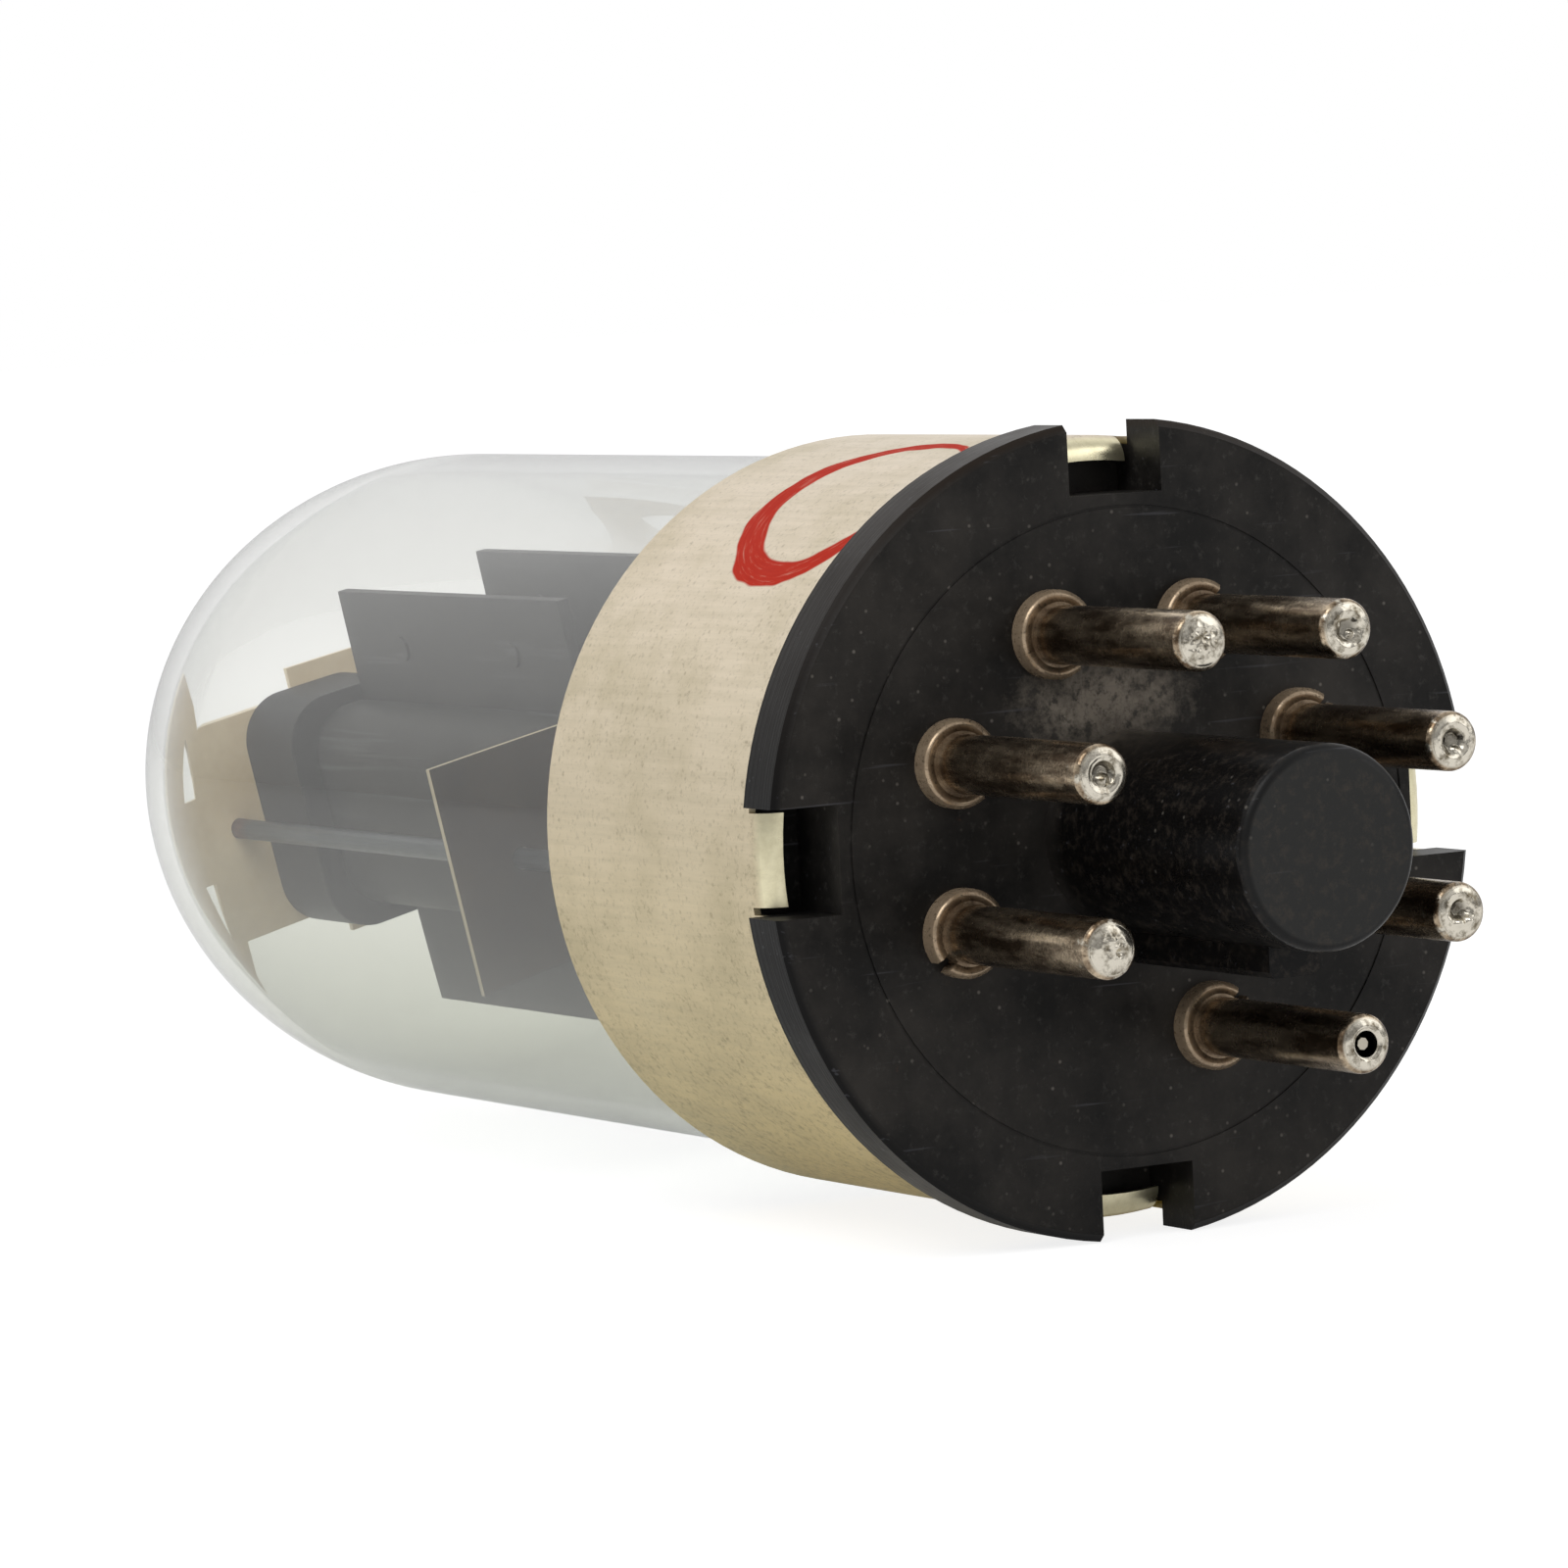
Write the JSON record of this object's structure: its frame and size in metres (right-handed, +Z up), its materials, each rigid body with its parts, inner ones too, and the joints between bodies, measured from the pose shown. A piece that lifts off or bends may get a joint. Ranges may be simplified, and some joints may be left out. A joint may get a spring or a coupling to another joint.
{
  "type": "twin triode tube",
  "caption": "Glass vacuum tube lying on its side, with a metal-sleeved octal base, a keyed post and soldered pins, and a two-section electrode cage seen through the glass.",
  "frame": {"origin": "centre of the outer face of the base wafer, on the tube's axis", "axes": "+X along the tube's axis out of the base towards the pins, -Z from the axis to the key, the tube lying on its side with +Z up"},
  "size_m": [0.0889, 0.0324, 0.0324],
  "materials": {
    "phenolic": "satin",
    "sleeve_metal": "satin",
    "cement": "matte",
    "bulb_glass": "clear",
    "stem_glass": "clear",
    "pin_brass": "tarnished",
    "solder_tin": "satin",
    "lead_wire": "satin",
    "mica_sheet": "satin",
    "support_nickel": "satin",
    "anode_carbon": "matte",
    "grid_metal": "satin",
    "cathode_coat": "matte",
    "heater_coat": "matte",
    "getter_metal": "satin"
  },
  "bodies": {
    "root": {"base_wafer": "phenolic", "base_sleeve": "sleeve_metal", "base_cement": "cement", "glass_bulb": "bulb_glass", "glass_stem": "stem_glass", "pin_2": "pin_brass", "pin_3": "pin_brass", "pin_4": "pin_brass", "pin_5": "pin_brass", "pin_6": "pin_brass", "pin_7": "pin_brass", "pin_8": "pin_brass", "solder_2": "solder_tin", "solder_3": "solder_tin", "solder_4": "solder_tin", "solder_5": "solder_tin", "solder_6": "solder_tin", "solder_7": "solder_tin", "solder_8": "solder_tin", "lead_2": "lead_wire", "lead_3": "lead_wire", "lead_4": "lead_wire", "lead_5": "lead_wire", "lead_6": "lead_wire", "lead_7": "lead_wire", "lead_8": "lead_wire", "lower_mica": "mica_sheet", "upper_mica": "mica_sheet", "top_mica": "mica_sheet", "support_rod_1": "support_nickel", "support_rod_2": "support_nickel", "anode_1_outer": "anode_carbon", "anode_1_inner": "anode_carbon", "anode_2_outer": "anode_carbon", "anode_2_inner": "anode_carbon", "grid_rod_1a": "grid_metal", "grid_rod_1b": "grid_metal", "grid_rod_2a": "grid_metal", "grid_rod_2b": "grid_metal", "grid_winding_1": "grid_metal", "grid_winding_2": "grid_metal", "cathode_1": "cathode_coat", "cathode_2": "cathode_coat", "heater_1": "heater_coat", "heater_2": "heater_coat", "heater_link": "lead_wire", "cathode_link": "support_nickel", "getter_cup": "getter_metal"}
  },
  "joints": []
}
